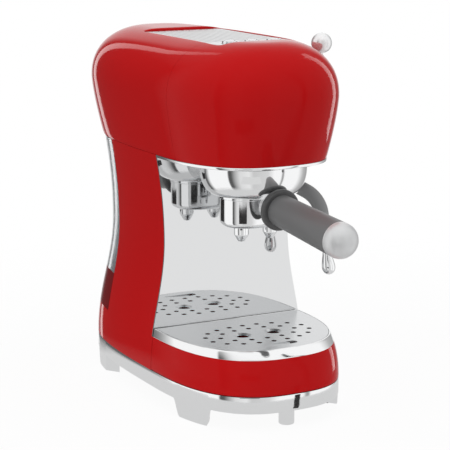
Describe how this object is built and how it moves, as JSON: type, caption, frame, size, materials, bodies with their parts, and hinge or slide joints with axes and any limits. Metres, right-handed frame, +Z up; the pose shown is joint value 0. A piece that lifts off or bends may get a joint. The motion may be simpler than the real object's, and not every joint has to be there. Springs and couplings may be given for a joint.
{
  "type": "espresso machine",
  "caption": "Slim retro espresso machine with a domed red head, chrome portafilter, steam lever and arm, drip tray with a perforated grid and a rear water tank.",
  "frame": {"origin": "middle of the underside of the round front foot, on the machine's mid-plane, at counter level", "axes": "+Z up, front of the machine towards -Y, +X to the right seen from the front"},
  "size_m": [0.17, 0.3789, 0.311],
  "materials": {
    "chrome": "polished",
    "red": "gloss",
    "red_plastic": "gloss",
    "mirror_steel": "polished",
    "steel": "brushed",
    "grip": "satin",
    "silver": "satin",
    "sleeve": "matte",
    "tank_grey": "clear",
    "tank_red": "gloss",
    "black": "matte",
    "rubber": "matte",
    "brass": "cast",
    "aluminium": "cast",
    "board_green": "satin",
    "hose": "satin"
  },
  "bodies": {
    "machine": {"base_skirt": "chrome", "base_plate": "black", "tray_shelf": "black", "front_foot": "chrome", "side_feet": "chrome", "foot_pads": "rubber", "lower_body": "red", "column_shell": "red", "backsplash": "mirror_steel", "head_front_cover": "red", "head_rear_cover": "red", "head_rim": "chrome", "head_floor": "silver", "chassis_plate": "steel", "cup_plate": "steel", "board_carrier": "black", "control_board": "board_green", "group_body": "aluminium", "group_gasket": "rubber", "shower_screen": "steel", "machine_screws": "steel", "steam_valve": "brass", "steam_pipes": "steel", "wand_socket": "chrome", "tank_coupling": "black", "tank_seal": "rubber", "pump": "black", "pump_mounts": "rubber", "pump_bracket": "steel", "flow_meter": "black", "water_hoses": "hose", "thermoblock": "aluminium", "brew_pipe": "steel", "power_inlet": "black"},
    "portafilter": {"portafilter_body": "chrome", "spout_block": "chrome", "spout_tips": "chrome", "filter_basket": "steel", "portafilter_neck": "chrome", "handle_collar": "grip", "handle_grip": "grip", "handle_cap": "silver", "handle_bolt": "steel"},
    "lever": {"steam_lever": "chrome", "lever_ball": "chrome", "valve_stem": "steel"},
    "wand": {"wand_ball": "steel", "wand_pipe": "steel", "wand_sleeve": "sleeve", "steam_nozzle": "chrome"},
    "tray": {"drip_tray": "red_plastic", "drip_tray_rim": "chrome"},
    "grid": {"drip_grid": "steel"},
    "tank": {"tank_base": "tank_red", "water_tank": "tank_grey", "tank_lid": "black", "tank_outlet": "black"},
    "single_button": {"button_single": "silver"},
    "double_button": {"button_double": "silver"},
    "steam_button": {"button_steam": "silver"}
  },
  "joints": [
    {"name": "portafilter_twist", "type": "hinge", "parent": "machine", "child": "portafilter", "pos_m": [0, 0.0575, 0.2], "axis": [0, 0, 1], "range_deg": [-45, 5]},
    {"name": "steam_lever_turn", "type": "hinge", "parent": "machine", "child": "lever", "pos_m": [0.0796, 0.095, 0.262], "axis": [1, 0, 0], "range_deg": [0, 60]},
    {"name": "steam_arm_swing", "type": "hinge", "parent": "machine", "child": "wand", "pos_m": [0.046, 0.091, 0.188], "axis": [0, 0, 1], "range_deg": [-20, 50]},
    {"name": "drip_tray_slide", "type": "slide", "parent": "machine", "child": "tray", "axis": [0, -1, 0], "range_m": [0, 0.13]},
    {"name": "drip_grid_lift", "type": "slide", "parent": "tray", "child": "grid", "axis": [0, 0, 1], "range_m": [0, 0.035]},
    {"name": "tank_pull", "type": "slide", "parent": "machine", "child": "tank", "axis": [0, 1, 0], "range_m": [0, 0.1]},
    {"name": "single_press", "type": "slide", "parent": "machine", "child": "single_button", "axis": [0, 0, -1], "range_m": [0, 0.0015], "stiffness_N_per_m": 400, "springref_m": -0.0008},
    {"name": "double_press", "type": "slide", "parent": "machine", "child": "double_button", "axis": [0, 0, -1], "range_m": [0, 0.0015], "stiffness_N_per_m": 400, "springref_m": -0.0008},
    {"name": "steam_press", "type": "slide", "parent": "machine", "child": "steam_button", "axis": [0, 0, -1], "range_m": [0, 0.0015], "stiffness_N_per_m": 400, "springref_m": -0.0008}
  ]
}
